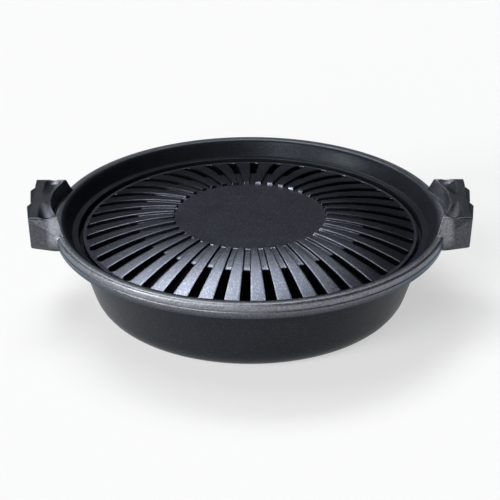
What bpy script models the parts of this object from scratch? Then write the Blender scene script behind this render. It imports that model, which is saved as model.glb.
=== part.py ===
# Table pot with a drop-in grill plate, two castings.
# Metres, +Z up. The origin is the middle of the pot's flat base.
# +X points to one lug handle, -Y is the front.

import math

import bmesh
import bpy
from mathutils import Matrix, Vector
from mathutils.geometry import intersect_line_sphere_2d

# Pot, outside
rim_radius = 0.1585
rim_height = 0.0753
rim_depth = 0.0125
skirt_taper = 0.0012
wall_inset = 0.0150
wall_lean_in = 0.0203
base_rounding = 0.0228
outer_bead_rounding = 0.0040
bead_height = 0.0056
bead_groove_depth = 0.0007
bead_groove_width = 0.0013

# Pot, under the rim
skirt_thickness = 0.0033
rim_channel_depth = 0.0044
rim_channel_width = 0.0038
rim_underside_drop = 0.0045
rim_underside_rounding = 0.0030
rim_channel_rounding = 0.0014

# Pot, inside
base_thickness = 0.0050
wall_thickness = 0.0047
inner_rounding = 0.0180
rim_width = 0.0085
rim_slope_run = 0.0059
ledge_drop = 0.0126
ledge_width = 0.0054
inner_bead_rounding = 0.0045
seat_width = 0.0062
edge_rounding = 0.0008
ledge_rounding = 0.0015

# Lug handles
ear_rise = 0.0132
ear_overhang = 0.0205
ear_bottom_drop = 0.0004
ear_crest_half = 0.0373
ear_end_lap = 0.0004
ear_root_inset = 0.0077
ear_facet_fall_angle = math.radians(60.0)
ear_inner_gap = 0.0015
ear_inner_curve = 0.0820
ear_draft_angle = math.radians(3.2)
ear_chamfer = 0.0044
ear_chamfer_fall_angle = math.radians(30.0)
ear_wall = 0.0040
ear_roof = 0.0065

# Saw teeth along each handle's outer side
back_tooth_drop = 0.0035
front_tooth_drop = 0.0037
notch_depth = 0.0052
back_notch_side = 0.0224
front_notch_side = -0.0062
notch_half_width = 0.0020
notch_long_flank = 0.0032
tooth_taper = 0.0024

# Thumb dimples in each handle's top
dimple_radius = 0.0068
dimple_depth = 0.0038
dimple_inset = 0.0010
dimple_side = 0.0310
dimple_tip_inset = 0.0065
dimple_tip_side = 0.0065
dimple_tip_radius = 0.0009

# Grill plate
plate_gap = 0.0032
plate_thickness = 0.0057
plate_edge_drop = 0.0017
seat_clearance = 0.0003
disc_radius = 0.0609
disc_lift = 0.0002
dome_rise = 0.0140
rib_height = 0.0022
rib_end_lean = 0.0010
outer_band = 0.0030
dome_slope_share = 0.20

# Slots and grooves
slot_count = 40
slot_turn = math.radians(-2.0)
slot_start_radius = 0.0910
groove_lead_in = 0.0005
groove_width_at_disc = 0.0049
slot_width_at_start = 0.0057
slot_width_at_end = 0.0083
slot_corner_radius = 0.0020

# Drawing
pot_segments = 64
plate_segments = 80
arc_step = math.radians(30.1)
small_rounding = 0.0030
dome_steps = 5
ball_segments = 18
ball_rings = 12
pocket_steps = 6
smooth_angle = math.radians(30.0)
overrun = 0.0100
merge_distance = 0.00001

# Finishes
pot_colour = (0.030, 0.033, 0.040, 1.0)
pot_roughness = 0.45
pot_metallic = 0.55
plate_colour = (0.080, 0.080, 0.090, 1.0)
plate_roughness = 0.40
plate_metallic = 0.60

# Radii and heights that follow from the sizes above
skirt_bottom_radius = rim_radius - skirt_taper
skirt_bottom_height = rim_height - rim_depth
wall_top_radius = rim_radius - wall_inset
wall_foot_radius = wall_top_radius - wall_lean_in
wall_slope = wall_lean_in / skirt_bottom_height
rim_mouth_radius = rim_radius - rim_width
ledge_outer_radius = rim_mouth_radius - rim_slope_run
ledge_height = rim_height - ledge_drop
throat_radius = ledge_outer_radius - ledge_width
plate_radius = throat_radius - plate_gap
plate_edge_height = ledge_height - plate_edge_drop
plate_bottom_height = plate_edge_height - plate_thickness
seat_height = plate_bottom_height - seat_clearance
seat_inner_radius = throat_radius - seat_width
slot_end_radius = plate_radius - outer_band
disc_height = plate_edge_height + dome_rise - rib_height + disc_lift
ear_height = rim_height + ear_rise
ear_bottom_height = skirt_bottom_height - ear_bottom_drop
ear_reach = rim_radius + ear_overhang
ear_back_reach = ear_reach - back_tooth_drop
ear_front_reach = ear_reach - front_tooth_drop
ear_notch_reach = ear_reach - notch_depth
ear_root_reach = rim_radius - ear_root_inset
ear_end_half = ear_crest_half + ear_end_lap
ear_root_half = ear_crest_half + ear_rise / math.tan(ear_facet_fall_angle)
ear_inner_reach = rim_radius + ear_inner_gap


def clear_scene():
    for old in list(bpy.data.objects):
        bpy.data.objects.remove(old)


def new_collection(name):
    made = bpy.data.collections.new(name)
    bpy.context.scene.collection.children.link(made)
    return made


def new_material(name, colour, roughness, metallic):
    material = bpy.data.materials.new(name)
    material.use_nodes = True
    shader = material.node_tree.nodes["Principled BSDF"]
    shader.inputs["Base Color"].default_value = colour
    shader.inputs["Roughness"].default_value = roughness
    shader.inputs["Metallic"].default_value = metallic
    material.diffuse_color = colour
    return material


def as_tool(tool, tools):
    tool.hide_render = True
    tool.display_type = "WIRE"
    tools.objects.link(tool)
    return tool


def rounded_path(corners):
    """Points along straight runs whose corners (x, y, radius) are turned into arcs."""
    points = []
    last = len(corners) - 1
    for index, (x, y, radius) in enumerate(corners):
        here = Vector((x, y))
        if radius == 0 or index in (0, last):
            points.append(here)
            continue
        to_before = (Vector(corners[index - 1][:2]) - here).normalized()
        to_after = (Vector(corners[index + 1][:2]) - here).normalized()
        half_angle = to_before.angle(to_after) / 2
        centre = here + (to_before + to_after).normalized() * (radius / math.sin(half_angle))
        start = here + to_before * (radius / math.tan(half_angle))
        turn = math.pi - 2 * half_angle
        if (start - centre).angle_signed(here - centre) > 0:
            turn = -turn
        widest = arc_step if radius > small_rounding else 2 * arc_step
        steps = max(1, math.ceil(abs(turn) / widest))
        for step in range(steps + 1):
            spoke = (start - centre).copy()
            spoke.rotate(Matrix.Rotation(turn * step / steps, 2))
            points.append(centre + spoke)
    return points


def turned(name, outline, segments, closed=False):
    """A profile of (radius, height) points, turned round the Z axis."""
    mesh = bpy.data.meshes.new(name)
    edges = [(i, i + 1) for i in range(len(outline) - 1)]
    if closed:
        edges.append((len(outline) - 1, 0))
    mesh.from_pydata([(x, 0, z) for x, z in outline], edges, [])
    piece = bpy.data.objects.new(name, mesh)
    screw = piece.modifiers.new("turn", "SCREW")
    screw.steps = segments
    screw.render_steps = segments
    screw.use_merge_vertices = True
    screw.merge_threshold = merge_distance
    return piece


def outline_block(name, outline, low, high):
    """A flat outline drawn as a curve and thickened from one height to the other."""
    curve = bpy.data.curves.new(name, "CURVE")
    curve.dimensions = "2D"
    curve.fill_mode = "BOTH"
    curve.extrude = (high - low) / 2
    spline = curve.splines.new("POLY")
    spline.points.add(len(outline) - 1)
    for point, (x, y) in zip(spline.points, outline):
        point.co = (x, y, 0, 1)
    spline.use_cyclic_u = True
    drawn = bpy.data.objects.new(name, curve)
    drawn.location.z = (low + high) / 2
    bpy.context.scene.collection.objects.link(drawn)
    bpy.context.view_layer.update()
    seen = drawn.evaluated_get(bpy.context.evaluated_depsgraph_get())
    mesh = bpy.data.meshes.new_from_object(seen)
    solid = bmesh.new()
    solid.from_mesh(mesh)
    bmesh.ops.remove_doubles(solid, verts=solid.verts, dist=merge_distance)
    solid.transform(drawn.matrix_world)
    solid.to_mesh(mesh)
    solid.free()
    bpy.data.objects.remove(drawn)
    return bpy.data.objects.new(name, mesh)


def box_tool(name, point, normal, size):
    """A box that lies beyond the plane through point; size is its (x, y, z) extent, z along normal."""
    mesh = bpy.data.meshes.new(name)
    solid = bmesh.new()
    bmesh.ops.create_cube(solid, size=1)
    solid.transform(Matrix.Diagonal((*size, 1)))
    solid.transform(Matrix.Translation((0, 0, size[2] / 2)))
    solid.transform(Vector(normal).to_track_quat("Z", "Y").to_matrix().to_4x4())
    solid.transform(Matrix.Translation(point))
    solid.to_mesh(mesh)
    solid.free()
    return bpy.data.objects.new(name, mesh)


def combine(piece, tool, operation):
    step = piece.modifiers.new(tool.name, "BOOLEAN")
    step.operation = operation
    step.object = tool
    step.solver = "EXACT"


def mirror(piece, across_x=False, across_y=False):
    step = piece.modifiers.new("mirror", "MIRROR")
    step.use_axis = (across_x, across_y, False)
    step.use_mirror_merge = False


def settle(piece, material):
    """Turns the piece's modifiers into its own mesh and shades its round faces smooth."""
    bpy.context.view_layer.update()
    seen = piece.evaluated_get(bpy.context.evaluated_depsgraph_get())
    mesh = bpy.data.meshes.new_from_object(seen)
    mesh.name = piece.name
    piece.modifiers.clear()
    piece.data = mesh
    mesh.materials.clear()
    mesh.materials.append(material)
    mesh.shade_smooth()
    mesh.set_sharp_from_angle(angle=smooth_angle)


def pot_profile():
    """The casting's section: up the inside from the middle of the floor, over the bead and down."""
    wall_angle = math.atan(wall_slope)
    foot_radius = wall_foot_radius + base_thickness * wall_slope - wall_thickness / math.cos(wall_angle)
    bead_bottom = rim_height - bead_height
    skirt_inner_radius = skirt_bottom_radius - skirt_thickness
    channel_top = skirt_bottom_height + rim_channel_depth
    channel_inner_radius = skirt_inner_radius - rim_channel_width
    underside_height = skirt_bottom_height - rim_underside_drop
    underside_radius = wall_foot_radius + underside_height * wall_slope
    return rounded_path([
        (0, base_thickness, 0),
        (foot_radius, base_thickness, inner_rounding),
        (seat_inner_radius, seat_height, edge_rounding),
        (throat_radius, seat_height, edge_rounding),
        (throat_radius, ledge_height, edge_rounding),
        (ledge_outer_radius, ledge_height, ledge_rounding),
        (rim_mouth_radius, rim_height, inner_bead_rounding),
        (rim_radius, rim_height, outer_bead_rounding),
        (rim_radius, bead_bottom, 0),
        (rim_radius - bead_groove_depth, bead_bottom - bead_groove_width / 2, 0),
        (rim_radius, bead_bottom - bead_groove_width, 0),
        (skirt_bottom_radius, skirt_bottom_height, edge_rounding),
        (skirt_inner_radius, skirt_bottom_height, edge_rounding),
        (skirt_inner_radius, channel_top, rim_channel_rounding),
        (channel_inner_radius, channel_top, rim_channel_rounding),
        (channel_inner_radius, underside_height + rim_channel_rounding, rim_channel_rounding),
        (underside_radius, underside_height, rim_underside_rounding),
        (wall_foot_radius, 0, base_rounding),
        (0, 0, 0),
    ])


def ear_outline():
    """The +X handle seen from above: three saw teeth outside and an arc inside the rim."""
    rim_core_radius = rim_radius - skirt_thickness - edge_rounding
    end_corner = Vector((ear_front_reach, ear_end_half))
    root_corner = Vector((ear_root_reach, ear_root_half))
    meets = intersect_line_sphere_2d(end_corner, root_corner, Vector((0, 0)), rim_core_radius, False)
    inner_corner = max(meets, key=lambda point: point.x)
    teeth = [
        (ear_front_reach, -ear_end_half),
        (ear_reach, front_notch_side - notch_long_flank),
        (ear_notch_reach, front_notch_side),
        (ear_reach - tooth_taper, front_notch_side + notch_half_width),
        (ear_reach, back_notch_side - notch_half_width),
        (ear_notch_reach, back_notch_side),
        (ear_back_reach, back_notch_side + notch_half_width),
        (ear_back_reach, ear_end_half),
    ]
    spread = math.atan2(inner_corner.y, inner_corner.x)
    steps = math.ceil(2 * spread / (math.tau / pot_segments))
    angles = [spread - 2 * spread * step / steps for step in range(steps + 1)]
    return teeth + [(rim_core_radius * math.cos(a), rim_core_radius * math.sin(a)) for a in angles]


def ear_block():
    """The outline as a block whose outer faces lean in towards the bottom."""
    block = outline_block("ears", ear_outline(), ear_bottom_height, ear_height)
    lean = (ear_height - ear_bottom_height) * math.tan(ear_draft_angle)
    solid = bmesh.new()
    solid.from_mesh(block.data)
    bmesh.ops.triangulate(solid, faces=solid.faces)
    for vertex in solid.verts:
        if vertex.co.x > ear_notch_reach - lean and vertex.co.z < ear_height - lean:
            vertex.co.x -= lean
    solid.to_mesh(block.data)
    solid.free()
    return block


def dimple_tool():
    """A ball and a small ball with a skin drawn over both: it presses a teardrop into the ear's top."""
    ball_radius = (dimple_radius ** 2 + dimple_depth ** 2) / (2 * dimple_depth)
    ball_place = (ear_inner_reach + dimple_inset, dimple_side, ear_height - dimple_depth + ball_radius)
    tip_place = (ear_inner_reach + dimple_tip_inset, dimple_tip_side, ear_height)
    mesh = bpy.data.meshes.new("ear_dimple")
    solid = bmesh.new()
    for place, radius in ((ball_place, ball_radius), (tip_place, dimple_tip_radius)):
        bmesh.ops.create_uvsphere(
            solid,
            u_segments=ball_segments,
            v_segments=ball_rings,
            radius=radius,
            matrix=Matrix.Translation(place),
        )
    bmesh.ops.delete(solid, geom=solid.faces[:], context="FACES_ONLY")
    bmesh.ops.delete(solid, geom=solid.edges[:], context="EDGES_FACES")
    bmesh.ops.convex_hull(solid, input=solid.verts)
    inside = [vert for vert in solid.verts if not vert.link_faces]
    bmesh.ops.delete(solid, geom=inside, context="VERTS")
    bmesh.ops.recalc_face_normals(solid, faces=solid.faces)
    solid.to_mesh(mesh)
    solid.free()
    tool = bpy.data.objects.new("ear_dimple", mesh)
    mirror(tool, across_y=True)
    return tool


def ear_tools():
    """What is cut from the ear's block, on the +X side."""
    long_side = 2 * ear_root_half
    facet_normal = (0, math.sin(ear_facet_fall_angle), math.cos(ear_facet_fall_angle))
    facet_place = (ear_reach, ear_crest_half, ear_height)
    facet = box_tool("ear_facet", facet_place, facet_normal, (long_side, long_side, long_side))
    mirror(facet, across_y=True)

    chamfer_normal = (math.sin(ear_chamfer_fall_angle), 0, math.cos(ear_chamfer_fall_angle))
    chamfer_place = (ear_reach - ear_chamfer, 0, ear_height)
    chamfer = box_tool("ear_chamfer", chamfer_place, chamfer_normal, (long_side, long_side, long_side))

    mesh = bpy.data.meshes.new("ear_inner_wall")
    solid = bmesh.new()
    bmesh.ops.create_cone(
        solid,
        cap_ends=True,
        segments=pot_segments,
        radius1=ear_inner_curve,
        radius2=ear_inner_curve,
        depth=ear_height,
    )
    clear_height = rim_height - outer_bead_rounding / 2
    middle = (ear_inner_reach - ear_inner_curve, 0, clear_height + ear_height / 2)
    solid.transform(Matrix.Translation(middle))
    solid.to_mesh(mesh)
    solid.free()
    inner_wall = bpy.data.objects.new("ear_inner_wall", mesh)
    return [facet, chamfer, inner_wall, dimple_tool()]


def build_ears(tools):
    ears = ear_block()
    for tool in ear_tools():
        combine(ears, as_tool(tool, tools), "DIFFERENCE")
    mirror(ears, across_x=True)
    return as_tool(ears, tools)


def build_ear_pockets(tools):
    """Hollows under both handles, so that their walls are about as thick as the pot's."""
    outer = ear_notch_reach - ear_wall
    side = ear_end_half - ear_wall
    curve_middle = ear_inner_reach - ear_inner_curve
    curve_radius = ear_inner_curve + ear_wall
    spread = math.asin(side / curve_radius)
    turns = [spread - 2 * spread * step / pocket_steps for step in range(pocket_steps + 1)]
    corners = [(outer, -side), (outer, side)]
    corners += [(curve_middle + curve_radius * math.cos(a), curve_radius * math.sin(a)) for a in turns]
    pockets = outline_block("ear_pockets", corners, ear_bottom_height - overrun, ear_height - ear_roof)
    mirror(pockets, across_x=True)
    return as_tool(pockets, tools)


def build_pot(parts, tools, material):
    pot = turned("pot", pot_profile(), pot_segments)
    parts.objects.link(pot)
    combine(pot, build_ears(tools), "UNION")
    combine(pot, build_ear_pockets(tools), "DIFFERENCE")
    settle(pot, material)
    return pot


def rib_top_height(radius):
    """The ribs start level at the disc and fall more and more steeply to the outer band."""
    way = (radius - disc_radius) / (slot_end_radius - disc_radius)
    fall = dome_slope_share * way + (1 - dome_slope_share) * way ** 2
    return plate_edge_height + dome_rise * (1 - fall)


def dome_radii(start, end, steps):
    return [start + (end - start) * step / steps for step in range(steps + 1)]


def plate_profile():
    """The plate's section before its slots: under the dome, then over the band and the ribs."""
    rib_start = disc_radius + rib_end_lean
    ribs = [(r, rib_top_height(r)) for r in dome_radii(slot_end_radius, rib_start, dome_steps)]
    under = [(r, z - plate_thickness) for r, z in reversed(ribs)]
    top = [(0, disc_height), (disc_radius, disc_height)] + list(reversed(ribs))
    edge = rounded_path([
        (slot_end_radius, plate_edge_height, 0),
        (plate_radius, plate_edge_height, edge_rounding),
        (plate_radius, plate_bottom_height, edge_rounding),
        (slot_end_radius, plate_bottom_height, 0),
    ])
    underside = list(reversed(under))
    return top + edge[1:-1] + underside + [(0, underside[-1][1])]


def slot_outline():
    """One slot seen from above, along +X: it widens outwards and has rounded outer corners."""
    start = disc_radius - groove_lead_in
    corners = [
        (start, 0, 0),
        (start, groove_width_at_disc / 2, 0),
        (slot_start_radius, slot_width_at_start / 2, 0),
        (slot_end_radius, slot_width_at_end / 2, slot_corner_radius),
        (slot_end_radius, 0, 0),
    ]
    half = rounded_path(corners)[1:-1]
    return [(x, -y) for x, y in half] + [(x, y) for x, y in reversed(half)]


def build_slots(tools):
    """The tools that cut every groove and slot in one pass."""
    below = plate_bottom_height - overrun
    above = plate_edge_height + dome_rise + overrun
    blade = outline_block("slot_blade", slot_outline(), below, above)
    blades = bmesh.new()
    for index in range(slot_count):
        blade_turn = Matrix.Rotation(slot_turn + math.tau * index / slot_count, 4, "Z")
        first = len(blades.verts)
        blades.from_mesh(blade.data)
        blades.verts.ensure_lookup_table()
        bmesh.ops.transform(blades, matrix=blade_turn, verts=blades.verts[first:])
    mesh = bpy.data.meshes.new("slots")
    blades.to_mesh(mesh)
    blades.free()
    bpy.data.objects.remove(blade)
    slots = bpy.data.objects.new("slots", mesh)

    # Above the groove floors, and right through the plate from slot_start_radius outwards
    floor_radii = dome_radii(disc_radius + groove_lead_in, slot_start_radius, dome_steps // 2)
    floor = [(r, rib_top_height(r) - rib_height) for r in floor_radii]
    reach = plate_radius + overrun
    entry = (disc_radius - 2 * groove_lead_in, disc_height + disc_lift)
    outline = [(entry[0], above), (reach, above), (reach, below), (slot_start_radius, below)]
    outline += list(reversed(floor)) + [entry]
    depth = as_tool(turned("slot_depth", outline, plate_segments, closed=True), tools)
    combine(slots, depth, "INTERSECT")
    return as_tool(slots, tools)


def build_plate(parts, tools, material):
    plate = turned("grill_plate", plate_profile(), plate_segments)
    parts.objects.link(plate)
    combine(plate, build_slots(tools), "DIFFERENCE")
    settle(plate, material)
    return plate


def main():
    clear_scene()
    parts = new_collection("hot_pot_grill")
    tools = new_collection("cutting_tools")
    build_pot(parts, tools, new_material("pot_coating", pot_colour, pot_roughness, pot_metallic))
    build_plate(parts, tools, new_material("plate_coating", plate_colour, plate_roughness, plate_metallic))


main()
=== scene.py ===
# Table hot pot with a drop-in grill plate. Metres, +Z up, the camera looks along +Y.
import math

import bmesh
import bpy
import numpy as np
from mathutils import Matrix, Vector


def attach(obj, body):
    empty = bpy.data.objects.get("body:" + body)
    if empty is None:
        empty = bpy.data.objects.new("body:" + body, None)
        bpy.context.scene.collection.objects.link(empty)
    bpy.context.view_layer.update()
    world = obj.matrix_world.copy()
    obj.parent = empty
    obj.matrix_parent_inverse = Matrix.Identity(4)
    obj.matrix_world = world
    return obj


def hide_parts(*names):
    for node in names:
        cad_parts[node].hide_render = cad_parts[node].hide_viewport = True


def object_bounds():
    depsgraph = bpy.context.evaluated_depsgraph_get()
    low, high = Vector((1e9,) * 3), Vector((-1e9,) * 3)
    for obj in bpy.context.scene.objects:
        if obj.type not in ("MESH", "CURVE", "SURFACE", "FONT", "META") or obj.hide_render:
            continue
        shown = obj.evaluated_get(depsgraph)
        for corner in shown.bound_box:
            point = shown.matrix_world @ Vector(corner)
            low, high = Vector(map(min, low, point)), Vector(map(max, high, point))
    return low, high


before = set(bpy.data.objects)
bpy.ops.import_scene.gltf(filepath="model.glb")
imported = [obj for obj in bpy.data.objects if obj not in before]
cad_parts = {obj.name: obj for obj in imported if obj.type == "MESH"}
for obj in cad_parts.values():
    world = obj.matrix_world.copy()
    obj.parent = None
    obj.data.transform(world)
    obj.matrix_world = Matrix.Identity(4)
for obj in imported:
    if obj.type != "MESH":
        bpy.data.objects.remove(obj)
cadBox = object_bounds()
print("frame loaded:", sorted(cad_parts))


# the larger of two fields, with the corner between them filled over a band k wide:
# max(a, b) + (share of the band left)^2 * k / 4
def softMax(a, b, k):
    near = np.clip(k - np.abs(a - b), 0.0, None) / k
    return np.maximum(a, b) + near * near * k / 4


# the smaller of two fields, filled the same way
def softMin(a, b, k):
    return -softMax(-a, -b, k)


# 0 before start, 1 after end, and 3t^2 - 2t^3 between them
def sCurve(x, start, end):
    t = np.clip((x - start) / (end - start), 0.0, 1.0)
    return t * t * (3 - 2 * t)


# a point pulled from start by corner to end: (1-t)^2 start + 2t(1-t) corner + t^2 end
def bendPoints(start, corner, end, count):
    t = np.linspace(0.0, 1.0, count)[:, None]
    return (
        (1 - t) ** 2 * start[..., None, :]
        + 2 * t * (1 - t) * corner[..., None, :]
        + t ** 2 * end[..., None, :]
    )


# a line through corners with its bends rounded, each from radius * tan(turn / 2) before its corner to as far
# after it; corners may be one line (K, 2) or a stack of lines (N, K, 2)
def roundedLine(corners, radii, arcPoints, runPoints, widestTurn=2.8, runShare=0.49):
    corners = np.asarray(corners, float)
    last = corners.shape[-2] - 1
    edges = corners[..., 1:, :] - corners[..., :-1, :]
    lengths = np.linalg.norm(edges, axis=-1)[..., None]
    steps = edges / np.maximum(lengths, 1e-9)         # never divides by nothing
    out = [corners[..., :1, :]]
    leave = corners[..., 0, :]
    for k in range(1, last + 1):
        here = corners[..., k, :]
        before, after = steps[..., k - 1, :], steps[..., min(k, last - 1), :]
        turn = np.arccos(np.clip((before * after).sum(-1), -1.0, 1.0))[..., None]
        reach = 0 if k == last else radii[k] * np.tan(np.minimum(turn, widestTurn) / 2)
        if k < last:
            shorter = np.minimum(lengths[..., k - 1, :], lengths[..., k, :])
            reach = np.minimum(reach, runShare * shorter)
        arrive = here - before * reach
        if runPoints[k - 1]:
            share = np.arange(1, runPoints[k - 1] + 1)[:, None] / (runPoints[k - 1] + 1)
            out.append(leave[..., None, :] + share * (arrive - leave)[..., None, :])
        if k == last or radii[k] == 0:
            out.append(here[..., None, :])
            leave = here
        else:
            leave = here + after * reach
            out.append(bendPoints(arrive, here, leave, arcPoints))
    return np.concatenate(out, axis=-2)


# quads between the rows and columns of a grid whose first point has the index first
def gridFaces(rows, columns, first=0, wrapRows=False, wrapColumns=False):
    r = np.arange(rows if wrapRows else rows - 1)[:, None]
    c = np.arange(columns if wrapColumns else columns - 1)[None, :]
    nextR, nextC = (r + 1) % rows, (c + 1) % columns
    quads = np.stack(np.broadcast_arrays(
        r * columns + c, r * columns + nextC, nextR * columns + nextC, nextR * columns + c
    ), axis=-1)
    return quads.reshape(-1, 4) + first


# a mesh object from points and quads; doubles merged, normals outwards, edges over sharpAngle kept sharp
def buildPiece(name, points, quads, sharpAngle, mergeDistance):
    mesh = bpy.data.meshes.new(name)
    mesh.vertices.add(len(points))
    mesh.vertices.foreach_set("co", np.asarray(points, np.float32).ravel())
    mesh.loops.add(quads.size)
    mesh.loops.foreach_set("vertex_index", quads.astype(np.int32).ravel())
    mesh.polygons.add(len(quads))
    mesh.polygons.foreach_set("loop_start", np.arange(0, quads.size, 4, dtype=np.int32))
    mesh.update(calc_edges=True)
    work = bmesh.new()
    work.from_mesh(mesh)
    bmesh.ops.remove_doubles(work, verts=work.verts, dist=mergeDistance)
    bmesh.ops.dissolve_degenerate(work, edges=work.edges, dist=mergeDistance)
    bmesh.ops.recalc_face_normals(work, faces=work.faces)
    openEdges = sum(1 for edge in work.edges if len(edge.link_faces) != 2)
    work.to_mesh(mesh)
    work.free()
    mesh.shade_smooth()
    mesh.set_sharp_from_angle(angle=sharpAngle)
    piece = bpy.data.objects.new(name, mesh)
    bpy.context.scene.collection.objects.link(piece)
    print(name, len(mesh.polygons), "faces, open edges:", openEdges)
    return piece


# Pot: a section of radius and height, turned about Z
pot = {
    "rimRadius": 0.1585, "rimHeight": 0.0753, "rimDepth": 0.0125, "skirtTaper": 0.0012,
    "wallInset": 0.0150, "wallLeanIn": 0.0203, "baseRounding": 0.0228,
    "rimWidth": 0.0085, "rimSlopeRun": 0.0059, "ledgeDrop": 0.0126, "ledgeWidth": 0.0054,
    "outerBead": 0.0040, "innerBead": 0.0045, "beadHeight": 0.0056,
    "grooveDepth": 0.0005, "grooveWidth": 0.0015, "grooveRounding": 0.0004,
    "skirtThickness": 0.0033, "channelDepth": 0.0044, "channelWidth": 0.0038,
    "undersideDrop": 0.0045, "undersideRounding": 0.0030, "channelRounding": 0.0014,
    "baseThickness": 0.0050, "wallThickness": 0.0047, "innerRounding": 0.0180,
    "seatHeight": 0.0550, "seatWidth": 0.0062, "edge": 0.0008, "ledgeRounding": 0.0015,
    "turns": 400, "arcPoints": 9, "sharpAngle": math.radians(50), "mergeDistance": 2e-6,
}


# the section runs up the inside, over the bead, down the skirt and the wall to the base's middle;
# a row is radius, height, rounding, and how many points follow on the run to the next row
def potSection(p):
    rim, top = p["rimRadius"], p["rimHeight"]
    skirtFoot = top - p["rimDepth"]
    skirtRadius = rim - p["skirtTaper"]
    wallTop = rim - p["wallInset"]
    wallFoot = wallTop - p["wallLeanIn"]
    slope = p["wallLeanIn"] / skirtFoot
    mouth = rim - p["rimWidth"]
    ledgeOuter = mouth - p["rimSlopeRun"]
    throat = ledgeOuter - p["ledgeWidth"]
    ledge = top - p["ledgeDrop"]
    floorRadius = wallFoot + p["baseThickness"] * slope - p["wallThickness"] * math.hypot(1, slope)
    beadFoot = top - p["beadHeight"]
    skirtInner = skirtRadius - p["skirtThickness"]
    channelTop = skirtFoot + p["channelDepth"]
    channelInner = skirtInner - p["channelWidth"]
    under = skirtFoot - p["undersideDrop"]
    rows = [
        (0, p["baseThickness"], 0, 14),
        (floorRadius, p["baseThickness"], p["innerRounding"], 8),
        (throat - p["seatWidth"], p["seatHeight"], p["edge"], 1),
        (throat, p["seatHeight"], p["edge"], 2),
        (throat, ledge, p["edge"], 1),
        (ledgeOuter, ledge, p["ledgeRounding"], 2),
        (mouth, top, p["innerBead"], 1),
        (rim, top, p["outerBead"], 0),
        (rim, beadFoot, p["grooveRounding"], 0),
        (rim - p["grooveDepth"], beadFoot - p["grooveWidth"] / 2, p["grooveRounding"], 0),
        (rim, beadFoot - p["grooveWidth"], p["grooveRounding"], 1),
        (skirtRadius, skirtFoot, p["edge"], 1),
        (skirtInner, skirtFoot, p["edge"], 1),
        (skirtInner, channelTop, p["channelRounding"], 1),
        (channelInner, channelTop, p["channelRounding"], 1),
        (channelInner, under + p["channelRounding"], p["channelRounding"], 1),
        (wallFoot + under * slope, under, p["undersideRounding"], 10),
        (wallFoot, 0, p["baseRounding"], 14),
        (0, 0, 0, 0),
    ]
    corners = [(radius, height) for radius, height, _, _ in rows]
    roundings = [rounding for _, _, rounding, _ in rows]
    runPoints = [count for _, _, _, count in rows]
    return roundedLine(corners, roundings, p["arcPoints"], runPoints)


# x = r cos a, y = r sin a for every section point and every angle a
def turnedPiece(name, section, p):
    turns = p["turns"]
    a = np.linspace(0, 2 * np.pi, turns, endpoint=False)[:, None]
    r, z = section[None, :, 0], section[None, :, 1]
    points = np.stack([r * np.cos(a), r * np.sin(a), np.broadcast_to(z, (turns, len(section)))], -1)
    faces = gridFaces(turns, len(section), wrapRows=True)
    return buildPiece(name, points.reshape(-1, 3), faces, p["sharpAngle"], p["mergeDistance"])


potLine = potSection(pot)
potCasting = turnedPiece("pot_casting", potLine, pot)
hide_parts("pot")


# Lug handles: sections across each handle, from the lip over the top and down to the hollow underneath
ear = {
    "rise": 0.0132, "overhang": 0.0205, "bottomDrop": 0.0004,
    "crestHalf": 0.0373, "endHalf": 0.0377, "rootInset": 0.0077, "facetFall": math.radians(60),
    "innerGap": 0.0015, "innerCurve": 0.0820, "draft": math.radians(3.2), "wallDraft": 0.0006,
    "chamfer": 0.0044, "chamferFall": math.radians(30), "wall": 0.0040, "roof": 0.0065,
    # saw teeth: how far each steps back, where it lies along the handle, and how soft it is
    "backToothDrop": 0.0035, "frontToothDrop": 0.0037, "notchDepth": 0.0052,
    "backNotch": 0.0224, "frontNotch": -0.0062, "notchHalf": 0.0020, "longFlank": 0.0032,
    "toothTaper": 0.0024, "toothSoft": 0.0011, "toothSamples": 13,
    # thumb hollows: the round bowl, the tip it narrows to, and the top of the handle that they stay in
    "dimpleRadius": 0.0068, "dimpleDepth": 0.0026, "dimpleInset": 0.0010, "dimpleSide": 0.0312,
    "tipInset": 0.0065, "tipSide": 0.0065, "tipRadius": 0.0009,
    "dimpleTaper": 0.7, "dimpleFade": 1.3, "dimpleEdge": 0.12, "dimpleBelow": 0.0060, "dimpleFrom": 0.0030,
    # softness of the fillets
    "crestSoft": 0.0009, "lipSoft": 0.0026, "lipSoftLeast": 0.0002, "lipSoftRun": 0.0040,
    "rootSoft": 0.0040, "shelfSoft": 0.0015,
    "footRounding": 0.0016, "crestRounding": 0.0010, "faceRounding": 0.0009, "pocketRounding": 0.0012,
    # towards the ends the foot lifts and the shelf over the lip falls away, between these sides
    "footLift": 0.0018, "footLiftSides": (0.0425, 0.0470),
    "shelfFall": 0.0200, "shelfFallSides": (0.0400, 0.0460),
    # the hidden start inside the lip, the core in the rim and the points that the ends shrink to
    "lipInset": 0.0079, "coreInset": 0.0030, "coreRise": 0.0070, "tipRise": 0.0080, "tipRun": 0.0030,
    "sink": 0.00003,
    # the lip is read from the pot's section: how far in from the rim, to what closeness, and where it goes on
    "lipReach": 0.0160, "rimTolerance": 1e-5, "leastStep": 1e-7, "pastRim": (0.0010, -0.0200),
    # the least room that is left between two corners of a section
    "footLeast": 0.0013, "pocketLeast": 0.0012, "pocketWallLeast": 0.0006, "pocketWidthLeast": 0.0004,
    "pocketFade": 0.0024, "chamferLeast": 0.0007, "crestLeast": 0.0010, "faceLeast": 0.0002,
    "halfSpan": 0.0500, "sections": 300, "arcPoints": 7,
    "sharpAngle": math.radians(60), "mergeDistance": 2e-6,
}


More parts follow.
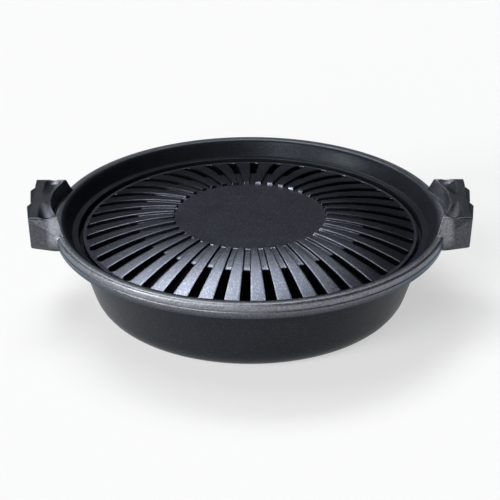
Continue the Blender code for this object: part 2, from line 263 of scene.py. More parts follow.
# the teeth as a line of reach over side, softened by a running mean
def toothLine(e, side):
    reach = pot["rimRadius"] + e["overhang"]
    rootHalf = e["crestHalf"] + e["rise"] / math.tan(e["facetFall"])
    root = pot["rimRadius"] - e["rootInset"]
    frontReach = reach - e["frontToothDrop"]
    backReach = reach - e["backToothDrop"]
    slope = (frontReach - root) / (rootHalf - e["endHalf"])
    far = e["halfSpan"] + 4 * e["toothSoft"]
    corners = [
        (-far, frontReach - (far - e["endHalf"]) * slope),
        (-e["endHalf"], frontReach),
        (e["frontNotch"] - e["longFlank"], reach),
        (e["frontNotch"], reach - e["notchDepth"]),
        (e["frontNotch"] + e["notchHalf"], reach - e["toothTaper"]),
        (e["backNotch"] - e["notchHalf"], reach),
        (e["backNotch"], reach - e["notchDepth"]),
        (e["backNotch"] + e["notchHalf"], backReach),
        (e["endHalf"], backReach),
        (far, backReach - (far - e["endHalf"]) * slope),
    ]
    sides, reaches = zip(*corners)
    shifts = np.linspace(-0.5, 0.5, e["toothSamples"]) * e["toothSoft"]
    shifts = (shifts[:, None] + shifts[None, :]).ravel()
    return np.interp(side[:, None] + shifts[None, :], sides, reaches).mean(axis=1)


# height of the lip at each radius, in straight lines between the points of the pot's section; past the rim
# it falls steeply away
def lipHeight(e, radius):
    peak = potLine[:, 1].argmax()
    first = np.flatnonzero(potLine[:peak, 0] < pot["rimRadius"] - e["lipReach"])[-1]
    outer = np.flatnonzero(potLine[peak:, 0] > pot["rimRadius"] - e["rimTolerance"])[0]
    lip = potLine[first:peak + outer + 1]
    outward = np.diff(np.maximum.accumulate(lip[:, 0])) > e["leastStep"]
    lip = lip[np.concatenate([[True], outward])]
    lip = np.vstack([lip, lip[-1] + np.array(e["pastRim"])])
    return np.interp(radius, lip[:, 0], lip[:, 1])


# radius of the skirt at each height, in straight lines between the points of the pot's section
def skirtRadiusAt(height):
    peak = potLine[:, 1].argmax()
    outer = potLine[peak:]
    foot = np.flatnonzero(outer[:, 1] < pot["rimHeight"] - pot["rimDepth"] + pot["edge"])[0]
    outer = outer[:foot][::-1]
    return np.interp(height, outer[:, 1], outer[:, 0])


# a teardrop: a round bowl that narrows along a line to its tip, depth * (1 - (distance / width)^2) with a
# softened edge; along the line the depth is dimpleDepth * (1 - t)^dimpleFade
def dimple(e, x, y):
    start = np.array([pot["rimRadius"] + e["innerGap"] + e["dimpleInset"], e["dimpleSide"]])
    tip = np.array([pot["rimRadius"] + e["innerGap"] + e["tipInset"], e["tipSide"]])
    way = tip - start
    px, py = x - start[0], np.abs(y) - start[1]
    t = np.clip((px * way[0] + py * way[1]) / (way @ way), 0, 1)
    gap = np.hypot(px - t * way[0], py - t * way[1])
    width = e["dimpleRadius"] * (1 - t) ** e["dimpleTaper"] + e["tipRadius"] * t
    depth = e["dimpleDepth"] * (1 - t) ** e["dimpleFade"]
    inside = 1 - (gap / width) ** 2
    return depth * softMax(inside, np.zeros_like(inside), e["dimpleEdge"])


# a rounded section of x and z at every side y; facing is -1 for the left handle and 1 for the right
def earPiece(e, name, facing):
    side = np.linspace(-e["halfSpan"], e["halfSpan"], e["sections"])
    away = np.abs(side)
    rim, lipTop = pot["rimRadius"], pot["rimHeight"]
    top = lipTop + e["rise"]
    skirtFoot = lipTop - pot["rimDepth"]
    lean = math.tan(e["draft"])

    # heights along the handle
    foot = skirtFoot - e["bottomDrop"] + e["footLift"] * sCurve(away, *e["footLiftSides"])
    shelf = lipTop - pot["outerBead"] / 2 - e["shelfFall"] * sCurve(away, *e["shelfFallSides"])
    facet = top - (away - e["crestHalf"]) * math.tan(e["facetFall"])
    crest = softMin(np.full_like(side, top), facet, 2 * e["crestSoft"])
    pocketEnd = e["endHalf"] - e["wall"]
    roof = foot + (top - e["roof"] - foot) * (1 - sCurve(away, pocketEnd - e["pocketFade"], pocketEnd))
    core = np.full_like(side, skirtFoot + e["coreRise"])

    # reaches along the handle, from inside the lip to the teeth
    lipX = np.sqrt((rim - e["lipInset"]) ** 2 - side ** 2)
    coreX = np.sqrt((rim - e["coreInset"]) ** 2 - side ** 2)
    innerX = rim + e["innerGap"] - e["innerCurve"] + np.sqrt(e["innerCurve"] ** 2 - side ** 2)
    wallFootZ = softMax(lipHeight(e, np.hypot(innerX, side)), shelf, e["shelfSoft"])
    line = toothLine(e, side)
    chamferX = rim + e["overhang"] - e["chamfer"]
    chamferDrop = np.clip(line - chamferX, 0, None) * math.tan(e["chamferFall"])
    lineTop = softMin(crest, top - chamferDrop, e["crestSoft"])
    chamferTopX = np.maximum(np.minimum(chamferX, line - e["chamferLeast"]), innerX + e["crestLeast"])
    lineX = np.maximum(line, chamferTopX + e["faceLeast"])
    footX = np.maximum(line - lean * (top - foot), coreX + e["footLeast"])
    notchWall = rim + e["overhang"] - e["notchDepth"] - e["wall"]
    pocketOut = np.clip(footX - e["wall"], coreX + e["pocketLeast"], notchWall)
    pocketCurve = e["innerCurve"] + e["wall"]
    pocketIn = rim + e["innerGap"] - e["innerCurve"] + np.sqrt(pocketCurve ** 2 - side ** 2)
    pocketIn = np.clip(pocketIn, coreX + e["pocketWallLeast"], pocketOut - e["pocketWidthLeast"])

    # a row is x, z, rounding, and how many points follow on the run to the next row
    pocket = e["pocketRounding"]
    rows = [
        (lipX, lipHeight(e, np.hypot(lipX, side)), 0, 12),
        (innerX - e["wallDraft"], wallFootZ, e["footRounding"], 8),
        (innerX, crest, e["crestRounding"], 22),
        (chamferTopX, crest, e["crestRounding"], 4),
        (lineX, lineTop, e["faceRounding"], 16),
        (footX, foot, e["faceRounding"], 2),
        (pocketOut, foot, pocket / 2, 6),
        (pocketOut, roof, pocket, 4),
        (pocketIn, roof, pocket, 6),
        (pocketIn, foot, pocket / 2, 2),
        (coreX, foot, 0, 1),
        (coreX, core, 0, 1),
        (lipX, core, 0, 0),
    ]
    corners = np.stack([np.stack([rowX, rowZ], -1) for rowX, rowZ, _, _ in rows], axis=1)
    roundings = [rounding for _, _, rounding, _ in rows]
    runPoints = [count for _, _, _, count in rows]
    arc = e["arcPoints"]
    section = roundedLine(corners, roundings, arc, runPoints)
    x, z = section[..., 0], section[..., 1]
    y = np.broadcast_to(side[:, None], x.shape)

    # the first points lie along the lip, the next on top and the next on the outer face
    order = np.arange(x.shape[1])
    lipEnd = 1 + runPoints[0] + arc
    topEnd = lipEnd + sum(runPoints[1:4]) + 3 * arc
    faceEnd = topEnd + runPoints[4] + arc
    highUp = sCurve(z, top - e["dimpleBelow"], top - e["dimpleFrom"])
    z = np.where(order < faceEnd, z - dimple(e, x, y) * highUp, z)

    # over the lip the handle rises out of it in a fillet, and outside it runs into the skirt in another
    lip = softMax(lipHeight(e, np.hypot(x, y)), shelf[:, None], e["shelfSoft"]) - e["sink"]
    z = np.where(order < lipEnd, np.maximum(z, lip), z)
    soft = e["lipSoftLeast"] + e["lipSoft"] * sCurve(x - innerX[:, None], 0.0, e["lipSoftRun"])
    z = np.where((order >= lipEnd) & (order < topEnd), softMax(z, lip, soft), z)
    skirt = np.sqrt(np.maximum(skirtRadiusAt(z) ** 2 - y ** 2, 0)) - e["sink"]
    face = softMax(np.minimum(x, line[:, None] - lean * (top - z)), skirt, e["rootSoft"])
    x = np.where((order >= topEnd) & (order < faceEnd), face, x)

    # the last sections shrink into the rim, and the teeth end at the solid's own reach
    shrink = sCurve(away, e["halfSpan"] - e["tipRun"], e["halfSpan"])[:, None]
    x = x + (coreX[:, None] - x) * shrink
    z = z + (skirtFoot + e["tipRise"] - z) * shrink
    x = np.minimum(x, cadBox[1][0])

    # a middle point closes each end
    points = np.stack([facing * x, y, z], -1)
    middle = points.mean(axis=1, keepdims=True)
    ends = [np.broadcast_to(middle[k], points[0].shape)[None] for k in (0, -1)]
    points = np.concatenate([ends[0], points, ends[1]])
    faces = gridFaces(*points.shape[:2], wrapColumns=True)
    return buildPiece(name, points.reshape(-1, 3), faces, e["sharpAngle"], e["mergeDistance"])


ears = [earPiece(ear, "ear_left", -1), earPiece(ear, "ear_right", 1)]
for piece in [potCasting] + ears:
    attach(piece, "pot")


# Grill plate: half of one sector of the dome, from a rib's crest to a slot's middle, mirrored and repeated
plate = {
    "radius": 0.1355, "edgeHeight": 0.0610, "thickness": 0.0057, "edge": 0.0008,
    "discRadius": 0.0609, "discHeight": 0.0730, "discUnder": 0.0619,
    "domeRise": 0.0140, "slopeShare": 0.20, "ribHeight": 0.0022, "ribLean": 0.0010, "band": 0.0030,
    "slots": 40, "turn": math.radians(-2.0), "slotStart": 0.0910,
    "widthAtDisc": 0.0049, "widthAtStart": 0.0057, "widthAtEnd": 0.0083,
    "endLength": 0.0030, "endSquareness": 2.5, "rampSoft": 0.0005, "grooveDipSlope": 0.4,
    "crestEdge": 0.00040, "floorRounding": 0.00060, "underEdge": 0.00030, "mouthEdge": 0.00035,
    # a rounding takes at most wallShare of its wall's height; the one at a slot's inner end fades in over
    # mouthFadeShare of the slot's half width
    "wallShare": 0.45, "mouthFadeShare": 0.3,
    # radii of the grid's rows: the disc, the rib ends where they crowd, the grooves and the underside
    "middleRow": 0.030,
    "rampRows": (0.0602, 0.0609, 0.06105, 0.0613, 0.0616, 0.0619, 0.0622, 0.0626, 0.0636),
    "grooveRows": (0.067, 0.072, 0.077, 0.082, 0.087, 0.0905),
    "backRows": (0.0905, 0.084, 0.076, 0.068),
    "slotRows": (0.0, 0.0005, 0.0010), "slotRun": 0.0060, "slotRunRows": 8, "slotEndRows": 10,
    "columns": 5, "floorColumns": 4, "bandArcPoints": 6,
    "sharpAngle": math.radians(40), "mergeDistance": 5e-6,
}


# the dome falls from the disc to the band by a share of the way out plus the rest of the way squared
def domeHeight(p, radius):
    end = p["radius"] - p["band"]
    way = (np.clip(radius, p["discUnder"], end) - p["discRadius"]) / (end - p["discRadius"])
    return p["edgeHeight"] + p["domeRise"] * (1 - p["slopeShare"] * way - (1 - p["slopeShare"]) * way ** 2)


# each rib rises out of the disc by a short steep ramp, then follows the dome
def ribHeight(p, radius):
    ramp = p["discHeight"] + (radius - p["discRadius"]) * p["ribHeight"] / p["ribLean"]
    rib = softMin(ramp, domeHeight(p, radius), p["rampSoft"])
    return np.maximum(rib, p["discHeight"] * (radius < p["discUnder"]))


# each groove falls from the disc at a slope, then follows the dome a rib's height below it
def grooveHeight(p, radius):
    dip = p["discHeight"] - (radius - p["discRadius"]) * p["grooveDipSlope"]
    return np.maximum(domeHeight(p, radius) - p["ribHeight"], dip * (radius < p["discUnder"]))


# half the width of a groove or slot, in straight lines between its three widths
def grooveHalf(p, radius):
    ends = [p["discRadius"], p["slotStart"], p["radius"] - p["band"]]
    return np.interp(radius, ends, [p["widthAtDisc"] / 2, p["widthAtStart"] / 2, p["widthAtEnd"] / 2])


# a point at this distance from Z and this distance from the slot's middle line
def spot(radius, side, height):
    radius, side, height = np.broadcast_arrays(radius, side, height)
    return np.stack([np.sqrt(np.maximum(radius ** 2 - side ** 2, 0)), side, height], -1)


# from a to b in count steps along a new last axis
def spread(a, b, count):
    a, b = np.broadcast_arrays(a, b)
    return a[..., None] + (b - a)[..., None] * np.linspace(0, 1, count)


# five grids of points: top, slot, the slot's inner end, band and underside; each rounding is a quarter turn
# from one face to the next, edge * (1 - sin a) along one and edge * (1 - cos a) along the other
def halfSector(p):
    sinCrest = math.sin(math.pi / p["slots"])
    end, start = p["radius"] - p["band"], p["slotStart"]
    arc = np.radians([30.0, 60.0, 90.0])
    sinBend, cosBend = 1 - np.sin(arc), 1 - np.cos(arc)
    columns = p["columns"]

    # disc, rib ends and grooves: crest, rounded edge, wall, rounded foot, groove floor
    inner = np.array([0.0, p["middleRow"], *p["rampRows"], *p["grooveRows"], start])
    across = np.maximum(inner, p["discRadius"])
    high, low = ribHeight(p, inner), np.minimum(grooveHeight(p, inner), ribHeight(p, inner))
    half = grooveHalf(p, across)
    edge = np.minimum(p["crestEdge"], (high - low) * p["wallShare"])
    foot = np.minimum(p["floorRounding"], (high - low) * p["wallShare"])
    sides = np.concatenate([
        spread(across * sinCrest, half + edge, columns),
        half[:, None] + edge[:, None] * sinBend,
        half[:, None],
        half[:, None] - foot[:, None] * cosBend,
        spread(half - foot, 0 * half, p["floorColumns"])[:, 1:],
    ], axis=1)
    heights = np.concatenate([
        np.repeat(high[:, None], columns, 1),
        high[:, None] - edge[:, None] * cosBend,
        (low + foot)[:, None],
        (low + foot)[:, None] - foot[:, None] * np.sin(arc),
        np.repeat(low[:, None], p["floorColumns"] - 1, 1),
    ], axis=1)
    sides *= (inner / across)[:, None]
    radii = np.repeat(inner[:, None], sides.shape[1], 1)
    corner = columns + len(arc)                       # the wall's foot, where the slot's side and end meet
    reach = p["mouthEdge"] * np.clip((half[-1] - sides[-1]) / (p["mouthFadeShare"] * half[-1]), 0, 1)
    reach[:corner + 1] = 0
    radii[-1] -= reach
    top = spot(radii, sides, heights)

    # slots: the outline runs straight and closes in a squared half round, endLength * sin^power further out
    # at half its width * cos^power
    slotRows = start + np.array(p["slotRows"])
    straight = np.linspace(start + p["slotRun"], end - p["endLength"], p["slotRunRows"])
    straight = np.concatenate([slotRows, straight])
    swing = np.linspace(0, np.pi / 2, p["slotEndRows"])[1:]
    power = 2 / p["endSquareness"]
    run = np.concatenate([straight, end - p["endLength"] + p["endLength"] * np.sin(swing) ** power])
    close = np.concatenate([np.ones(len(straight)), np.maximum(np.cos(swing), 0) ** power])
    close[-1] = 0
    width = grooveHalf(p, run) * close
    along, beside = np.gradient(run), np.gradient(width)
    along[-1], beside[-1] = 0, -1
    length = np.hypot(along, beside)
    outR, outS = -beside / length, along / length     # the outline's outward direction
    outR[0], outS[0] = 0, 1
    under = domeHeight(p, run) - p["thickness"]
    lip = p["crestEdge"] * np.ones_like(run)
    lower = p["underEdge"] * sCurve(run, start, slotRows[-1])
    gap = grooveHeight(p, run) + foot[-1]
    middle = (gap + under) / 2
    edgeR, lowR = run + outR * lip, run + outR * lower
    edgeS, lowS = width + outS * lip, width + outS * lower
    lowBend = np.append(cosBend[:2], 1.0)
    lowRise = 1 - np.append(np.sin(arc[:2]), 1.0)
    runs, widths = run[:, None], width[:, None]
    lipR, lipS = (outR * lip)[:, None], (outS * lip)[:, None]
    lowerR, lowerS = (outR * lower)[:, None], (outS * lower)[:, None]
    slot = np.concatenate([
        spot(edgeR[:, None], spread(edgeR * sinCrest, edgeS, columns), ribHeight(p, edgeR)[:, None]),
        spot(runs + lipR * sinBend, widths + lipS * sinBend,
             ribHeight(p, run)[:, None] - lip[:, None] * cosBend),
        spot(runs, widths, np.stack([gap, middle, under + lower], 1)),
        spot(runs + lowerR * lowBend, widths + lowerS * lowBend,
             under[:, None] + lower[:, None] * lowRise),
        spot(lowR[:, None], spread(lowS, lowR * sinCrest, columns)[:, 1:],
             (domeHeight(p, lowR) - p["thickness"])[:, None]),
    ], axis=1)

    # the slot's inner end, from the groove's floor down to the underside
    cut, wide = sides[-1, corner:], reach[corner:]
    floorEdge = low[-1] + foot[-1] * (1 - np.append([0], np.sin(arc)))
    floorEdge = np.append(floorEdge, [low[-1]] * (p["floorColumns"] - 1))
    underEdge = domeHeight(p, start) - p["thickness"]
    wall = np.full_like(cut, start)
    down = [top[-1, corner:]]
    for angle in arc[:2]:
        drop = wide * (1 - math.cos(angle))
        down.append(spot(start - wide * (1 - math.sin(angle)), cut, floorEdge - drop))
    down.append(spot(wall, cut, floorEdge - wide))
    down.append(spot(wall, cut, np.full_like(cut, middle[0])))
    for angle in np.append(0, arc):
        drop = wide * (1 - math.sin(angle))
        down.append(spot(start - wide * (1 - math.cos(angle)), cut, underEdge + drop))
    endWall = np.stack(down)

    # band, outer edge and the underside next to it
    bandUnder = p["edgeHeight"] - p["thickness"]
    corners = [(edgeR[-1], p["edgeHeight"]), (p["radius"], p["edgeHeight"]), (p["radius"], bandUnder),
               (lowR[-1], bandUnder)]
    line = roundedLine(corners, [0, p["edge"], p["edge"], 0], p["bandArcPoints"], [2, 1, 2])
    r = line[:, :1]
    band = spot(r, spread(r[:, 0] * sinCrest, 0 * r[:, 0], columns), line[:, 1:])

    # underside inside the slots
    back = np.array([start, *p["backRows"], p["discUnder"], p["middleRow"], 0.0])
    wideBack = np.maximum(back, p["discRadius"])
    half = grooveHalf(p, wideBack)
    share = cut / cut[0]
    sides = [spread(wideBack * sinCrest, half, columns), half[:, None] * share[1:]]
    sides = np.concatenate(sides, axis=1) * (back / wideBack)[:, None]
    radii = np.repeat(back[:, None], sides.shape[1], 1)
    radii[0, columns - 1:] -= wide
    underside = spot(radii, sides, (domeHeight(p, back) - p["thickness"])[:, None])
    return [top, slot, endWall, band, underside]


# each half sector and its mirror image, turned about Z: x cos a - y sin a, x sin a + y cos a
def grillPlate(p):
    points, quads, first = [], [], 0
    for grid in halfSector(p):
        rows, columns = grid.shape[:2]
        points.append(grid.reshape(-1, 3))
        quads.append(gridFaces(rows, columns, first))
        first += rows * columns
    half, faces = np.concatenate(points), np.concatenate(quads)
    both = np.concatenate([half, half * [1, -1, 1]])
    faces = np.concatenate([faces, faces + len(half)])
    a = p["turn"] + 2 * np.pi * np.arange(p["slots"])[:, None] / p["slots"]
    x, y = both[None, :, 0], both[None, :, 1]
    ring = np.stack([x * np.cos(a) - y * np.sin(a), x * np.sin(a) + y * np.cos(a),
                     np.broadcast_to(both[None, :, 2], (p["slots"], len(both)))], -1)
    faces = faces[None] + (np.arange(p["slots"]) * len(both))[:, None, None]
    return buildPiece("grill_plate_casting", ring.reshape(-1, 3), faces.reshape(-1, 4),
                      p["sharpAngle"], p["mergeDistance"])


grill = grillPlate(plate)
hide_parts("grill_plate")
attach(grill, "grill_plate")


# one node of the given kind, with its settings and a value or a link for each input
def addNode(tree, kind, settings, inputs):
    node = tree.nodes.new(kind)
    for key, value in settings.items():
        setattr(node, key, value)
    for key, value in inputs.items():
        if isinstance(value, bpy.types.NodeSocket):
            tree.links.new(value, node.inputs[key])
        else:
            node.inputs[key].default_value = value
    return node


def calculate(tree, operation, *values):
    return addNode(tree, "ShaderNodeMath", {"operation": operation}, dict(enumerate(values))).outputs[0]


# from low..high to 0..1, clamped
def between(tree, value, low, high):
    inputs = {"Value": value, "From Min": low, "From Max": high}
    return addNode(tree, "ShaderNodeMapRange", {"clamp": True}, inputs).outputs[0]


def noise(tree, place, scale, detail):
    inputs = {"Vector": place, "Scale": scale, "Detail": detail}
    return addNode(tree, "ShaderNodeTexNoise", {}, inputs).outputs[0]


def mixColours(tree, share, first, second):
    inputs = {0: share, 6: first, 7: second}          # the sockets of a colour mix
    return addNode(tree, "ShaderNodeMix", {"data_type": "RGBA"}, inputs).outputs[2]


# a node group that takes a place and the named numbers, and gives the named numbers
def newGroup(name, inputs, outputs):
    group = bpy.data.node_groups.new(name, "ShaderNodeTree")
    group.interface.new_socket(name="Place", in_out="INPUT", socket_type="NodeSocketVector")
    for socket in inputs:
        group.interface.new_socket(name=socket, in_out="INPUT", socket_type="NodeSocketFloat")
    for socket in outputs:
        group.interface.new_socket(name=socket, in_out="OUTPUT", socket_type="NodeSocketFloat")
    return group, group.nodes.new("NodeGroupInput").outputs, group.nodes.new("NodeGroupOutput").inputs


# Cast grain and flecks
grain = {
    "fineDetail": 2.0, "coarseShare": 0.3, "coarseDetail": 1.0,
    "cloudScale": 55.0, "cloudDetail": 3.0, "cloudLow": 0.3, "cloudHigh": 0.7,
    "fleckLeast": 0.20, "fleckSwing": 0.25, "fleckBorder": 0.12, "shineLeast": 0.4, "shineSwing": 0.6,
}


# grain: two sizes of noise; mottle: a wide noise; flecks: the inner part of some cells of a Voronoi pattern
def makeGrainGroup(g):
    inputs, outputs = ["Grain Scale", "Fleck Scale", "Fleck Share"], ["Fleck", "Mottle", "Height"]
    group, given, result = newGroup("castGrain", inputs, outputs)
    place = given["Place"]
    fine = noise(group, place, given["Grain Scale"], g["fineDetail"])
    coarseScale = calculate(group, "MULTIPLY", given["Grain Scale"], g["coarseShare"])
    coarse = noise(group, place, coarseScale, g["coarseDetail"])
    group.links.new(calculate(group, "ADD", fine, coarse), result["Height"])
    cloud = noise(group, place, g["cloudScale"], g["cloudDetail"])
    group.links.new(between(group, cloud, g["cloudLow"], g["cloudHigh"]), result["Mottle"])
    inputs = {"Vector": place, "Scale": given["Fleck Scale"]}
    cells = addNode(group, "ShaderNodeTexVoronoi", {}, inputs).outputs
    chance, size, shine = addNode(group, "ShaderNodeSeparateColor", {}, {"Color": cells["Color"]}).outputs
    chosen = calculate(group, "LESS_THAN", chance, given["Fleck Share"])
    reach = calculate(group, "MULTIPLY_ADD", size, g["fleckSwing"], g["fleckLeast"])
    depth = calculate(group, "SUBTRACT", reach, cells["Distance"])
    core = between(group, depth, 0.0, g["fleckBorder"])
    shine = calculate(group, "MULTIPLY_ADD", shine, g["shineSwing"], g["shineLeast"])
    fleck = calculate(group, "MULTIPLY", chosen, calculate(group, "MULTIPLY", core, shine))
    group.links.new(fleck, result["Fleck"])
    return group


# Wear and painted glints on the outward edges: paler metal along convex edges stands partly for real wear and
# partly for edge highlights
wearGlint = {
    "start": 0.53, "full": 0.60, "patchScale": 260.0, "patchDetail": 2.0, "patchLow": 0.35, "patchHigh": 0.6,
}


# where the surface bends outwards, broken up by noise
def makeRubGroup(r):
    group, given, result = newGroup("wearGlintEdge", ["Start", "Full"], ["Rub"])
    bend = addNode(group, "ShaderNodeNewGeometry", {}, {}).outputs["Pointiness"]
    edge = between(group, bend, given["Start"], given["Full"])
    patch = noise(group, given["Place"], r["patchScale"], r["patchDetail"])
    kept = between(group, patch, r["patchLow"], r["patchHigh"])
    group.links.new(calculate(group, "MULTIPLY", edge, kept), result["Rub"])
    return group


# Painted sheen: a paler metallic colour that stands in for highlights on the rim and the ears; distances from
# Z where it starts and is full, and reaches along X for the ears
paintedSheen = {
    "rimStart": 0.1500, "rimFull": 0.1575, "earStart": 0.1575, "earFull": 0.1615, "earShare": 0.32,
    "patchScale": 600.0, "patchDetail": 2.0, "patchLow": -0.1, "patchHigh": 0.7,
}


# painted sheen on the outside of the rim above Foot and, less, on the ears; noise breaks it up
def makePolishGroup(p):
    group, given, result = newGroup("paintedSheenGroup", ["Foot", "Top"], ["Polish"])
    across, depth, height = addNode(group, "ShaderNodeSeparateXYZ", {}, {0: given["Place"]}).outputs
    squares = calculate(group, "MULTIPLY_ADD", across, across, calculate(group, "MULTIPLY", depth, depth))
    outward = between(group, calculate(group, "SQRT", squares), p["rimStart"], p["rimFull"])
    above = between(group, height, given["Foot"], given["Top"])
    ears = between(group, calculate(group, "ABSOLUTE", across), p["earStart"], p["earFull"])
    notEars = calculate(group, "SUBTRACT", 1.0, ears)
    rim = calculate(group, "MULTIPLY", calculate(group, "MULTIPLY", above, outward), notEars)
    sheenPlaces = calculate(group, "MULTIPLY_ADD", ears, p["earShare"], rim)
    patch = noise(group, given["Place"], p["patchScale"], p["patchDetail"])
    kept = between(group, patch, p["patchLow"], p["patchHigh"])
    group.links.new(calculate(group, "MULTIPLY", sheenPlaces, kept), result["Polish"])
    return group


# Coatings: a dark enamel with fine metallic flecks over the sand-cast grain of the metal
potCoat = {
    "colour": (0.0085, 0.0098, 0.0130), "cloudColour": (0.0110, 0.0125, 0.0160),
    "fleckColour": (0.066, 0.074, 0.090), "grainScale": 800.0, "fleckScale": 1250.0, "fleckShare": 0.6,
    "roughness": 0.34, "roughnessSwing": 0.06, "specular": 0.14, "tint": (0.76, 0.88, 1.0),
    "bump": 0.7, "bumpDepth": 0.00010, "wearGlint": 0.35,
    # painted sheen: heights and colour of the paler metallic band on the rim that stands in for highlights
    "sheenFootHeight": 0.0605, "sheenTopHeight": 0.0722, "paintedSheenColour": (0.285, 0.297, 0.328),
    "sheenRoughness": 0.18, "sheenMetalEdge": 0.12,
}
plateCoat = {
    "colour": (0.080, 0.088, 0.112), "cloudColour": (0.086, 0.094, 0.118),
    "fleckColour": (0.31, 0.32, 0.355), "grainScale": 800.0, "fleckScale": 1150.0, "fleckShare": 0.75,
    "metallic": 1.0, "roughness": 0.31, "roughnessSwing": 0.02, "specular": 0.5, "tint": (1.0, 1.0, 1.0),
    "bump": 0.7, "bumpDepth": 0.00007, "wearGlint": 0.5,
}
castGrain, wearGlintEdge, paintedSheenGroup = makeGrainGroup(grain), makeRubGroup(wearGlint), makePolishGroup(paintedSheen)


# flecks, and outward edges that stand partly for wear and partly for painted glints, show a paler metal; a
# coat with a sheen colour also gets a painted sheen on its rim and ears, a paler metallic colour that stands
# in for highlights
def makeCoating(name, c):
    material = bpy.data.materials.new(name)
    material.use_nodes = True
    tree = material.node_tree
    shader = tree.nodes["Principled BSDF"]
    place = addNode(tree, "ShaderNodeTexCoord", {}, {}).outputs["Object"]
    inputs = {"Place": place, "Grain Scale": c["grainScale"], "Fleck Scale": c["fleckScale"],
              "Fleck Share": c["fleckShare"]}
    speckle = addNode(tree, "ShaderNodeGroup", {"node_tree": castGrain}, inputs).outputs
    inputs = {"Place": place, "Start": wearGlint["start"], "Full": wearGlint["full"]}
    wearGlintMask = addNode(tree, "ShaderNodeGroup", {"node_tree": wearGlintEdge}, inputs).outputs[0]
    # flecks and the edge mask turn the surface to a paler metal; the edge mask is partly wear and partly
    # painted glints
    fleckWearGlintSheen = calculate(tree, "MAXIMUM", speckle["Fleck"], calculate(tree, "MULTIPLY", wearGlintMask, c["wearGlint"]))
    colour = mixColours(tree, speckle["Mottle"], (*c["colour"], 1), (*c["cloudColour"], 1))
    colour = mixColours(tree, fleckWearGlintSheen, colour, (*c["fleckColour"], 1))
    low = c["roughness"] - c["roughnessSwing"] / 2
    inputs = {"Value": speckle["Mottle"], "To Min": low, "To Max": low + c["roughnessSwing"]}
    rough = addNode(tree, "ShaderNodeMapRange", {}, inputs).outputs[0]
    # painted sheen: the rim's top and the ears take a paler metallic colour that stands in for highlights
    if "paintedSheenColour" in c:
        inputs = {"Place": place, "Foot": c["sheenFootHeight"], "Top": c["sheenTopHeight"]}
        sheenMask = addNode(tree, "ShaderNodeGroup", {"node_tree": paintedSheenGroup}, inputs).outputs[0]
        colour = mixColours(tree, sheenMask, colour, (*c["paintedSheenColour"], 1))
        fleckWearGlintSheen = calculate(tree, "MAXIMUM", fleckWearGlintSheen, between(tree, sheenMask, 0.0, c["sheenMetalEdge"]))
        rough = calculate(tree, "MULTIPLY_ADD", sheenMask, c["sheenRoughness"], rough)
    tree.links.new(colour, shader.inputs["Base Color"])
    tree.links.new(rough, shader.inputs["Roughness"])
    if "metallic" in c:
        shader.inputs["Metallic"].default_value = c["metallic"]
    else:
        tree.links.new(fleckWearGlintSheen, shader.inputs["Metallic"])
    shader.inputs["Specular IOR Level"].default_value = c["specular"]
    shader.inputs["Specular Tint"].default_value = (*c["tint"], 1)
    inputs = {"Strength": c["bump"], "Distance": c["bumpDepth"], "Height": speckle["Height"]}
    bump = addNode(tree, "ShaderNodeBump", {}, inputs)
    tree.links.new(bump.outputs[0], shader.inputs["Normal"])
    return material


potFinish = makeCoating("pot_coating_finish", potCoat)
plateFinish = makeCoating("plate_coating_finish", plateCoat)
for piece in [potCasting] + ears:
    piece.data.materials.append(potFinish)
grill.data.materials.append(plateFinish)
print("coatings made")


# Floor, soft lights and camera
studio = {
    "floorRadius": 9.0, "floorSides": 64, "floorDrop": 0.0002, "floorColour": (0.90, 0.90, 0.90),
    "floorRoughness": 0.9, "floorSpecular": 0.1, "paperGlow": 0.55,
    "lens": 140.69, "sensor": 36, "distance": 1.584, "elevation": 25.74, "azimuth": -0.25,
    "aimHeight": 0.061, "shiftX": -0.0006, "shiftY": -0.0422, "clipEnd": 30,
    # direction towards the lamp (azimuth from the front, anticlockwise; elevation), strength, angle, colour
    "lamps": {
        "lamp_top": (-100, 70, 0.60, 24, (0.98, 0.99, 1.0)),
        "lamp_key": (-150, 58, 1.08, 22, (0.98, 0.99, 1.0)),
        "lamp_back": (-180, 56, 0.60, 22, (0.96, 0.98, 1.0)),
        "lamp_left": (-60, 9, 3.00, 24, (1.0, 0.985, 0.97)),
        "lamp_front": (-20, 9, 0.45, 24, (1.0, 0.985, 0.97)),
        "lamp_facet": (-24, 37, 1.15, 20, (0.98, 0.99, 1.0)),
    },
    "horizonColour": (0.01, 0.01, 0.0104), "zenithColour": (0.02, 0.02, 0.02),
}


# the camera and reflections see the paper part way to white, so the object's shadow stays pale
def makePaper(s):
    material = bpy.data.materials.new("floor_paper")
    material.use_nodes = True
    tree = material.node_tree
    shader = tree.nodes["Principled BSDF"]
    shader.inputs["Base Color"].default_value = (*s["floorColour"], 1)
    shader.inputs["Roughness"].default_value = s["floorRoughness"]
    shader.inputs["Specular IOR Level"].default_value = s["floorSpecular"]
    path = addNode(tree, "ShaderNodeLightPath", {}, {}).outputs
    seen = calculate(tree, "MAXIMUM", path["Is Camera Ray"], path["Is Glossy Ray"])
    seen = calculate(tree, "MAXIMUM", seen, path["Is Transmission Ray"])
    share = calculate(tree, "MULTIPLY", seen, s["paperGlow"])
    glow = addNode(tree, "ShaderNodeEmission", {}, {"Strength": 1.0})
    mix = addNode(tree, "ShaderNodeMixShader", {}, {0: share, 1: shader.outputs[0], 2: glow.outputs[0]})
    tree.links.new(mix.outputs[0], tree.nodes["Material Output"].inputs["Surface"])
    return material


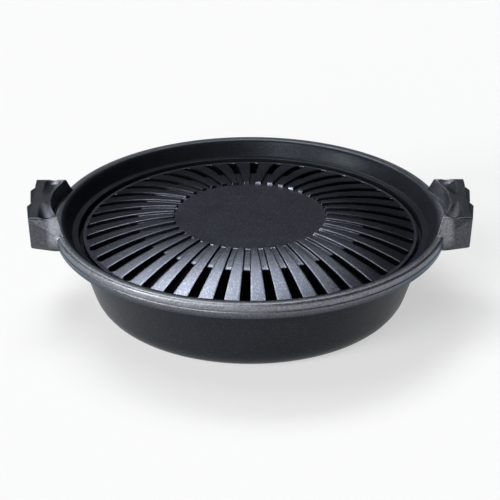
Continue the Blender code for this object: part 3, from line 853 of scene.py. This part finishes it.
def makeFloor(s):
    sides = s["floorSides"]
    a = np.linspace(0, 2 * np.pi, sides, endpoint=False)
    height = np.full(sides, -s["floorDrop"])
    points = np.stack([s["floorRadius"] * np.cos(a), s["floorRadius"] * np.sin(a), height], -1)
    mesh = bpy.data.meshes.new("floor")
    mesh.from_pydata(points.tolist(), [], [range(sides)])
    mesh.materials.append(makePaper(s))
    floor = bpy.data.objects.new("floor", mesh)
    bpy.context.scene.collection.objects.link(floor)


# the unit vector at this azimuth from the front and this elevation
def direction(azimuth, elevation):
    a, e = math.radians(azimuth - 90), math.radians(elevation)
    return Vector((math.cos(e) * math.cos(a), math.cos(e) * math.sin(a), math.sin(e)))


def makeLights(s):
    for name, (azimuth, elevation, strength, angle, colour) in s["lamps"].items():
        lamp = bpy.data.lights.new(name, "SUN")
        lamp.energy, lamp.color, lamp.angle = strength, colour, math.radians(angle)
        holder = bpy.data.objects.new(name, lamp)
        holder.rotation_euler = direction(azimuth, elevation).to_track_quat("Z", "Y").to_euler()
        bpy.context.scene.collection.objects.link(holder)


# a dim sky, from the horizon's colour up to the zenith's
def makeWorld(s):
    world = bpy.data.worlds.new("studio_world")
    bpy.context.scene.world = world
    world.use_nodes = True
    tree = world.node_tree
    place = addNode(tree, "ShaderNodeTexCoord", {}, {}).outputs["Generated"]
    up = addNode(tree, "ShaderNodeSeparateXYZ", {}, {0: place}).outputs["Z"]
    sky = addNode(tree, "ShaderNodeValToRGB", {}, {0: up})
    for stop, colour in zip(sky.color_ramp.elements, (s["horizonColour"], s["zenithColour"])):
        stop.color = (*colour, 1)
    tree.links.new(sky.outputs["Color"], tree.nodes["Background"].inputs["Color"])


def makeCamera(s):
    lens = bpy.data.cameras.new("camera")
    lens.lens, lens.sensor_width = s["lens"], s["sensor"]
    lens.shift_x, lens.shift_y = s["shiftX"], s["shiftY"]
    lens.clip_end = s["clipEnd"]
    camera = bpy.data.objects.new("camera", lens)
    view = direction(s["azimuth"], s["elevation"])
    camera.location = Vector((0, 0, s["aimHeight"])) + view * s["distance"]
    camera.rotation_euler = view.to_track_quat("Z", "Y").to_euler()
    bpy.context.scene.collection.objects.link(camera)
    bpy.context.scene.camera = camera


makeFloor(studio)
makeLights(studio)
makeWorld(studio)
makeCamera(studio)
bpy.context.scene.view_settings.view_transform = "Standard"
print("floor, lights and camera made")
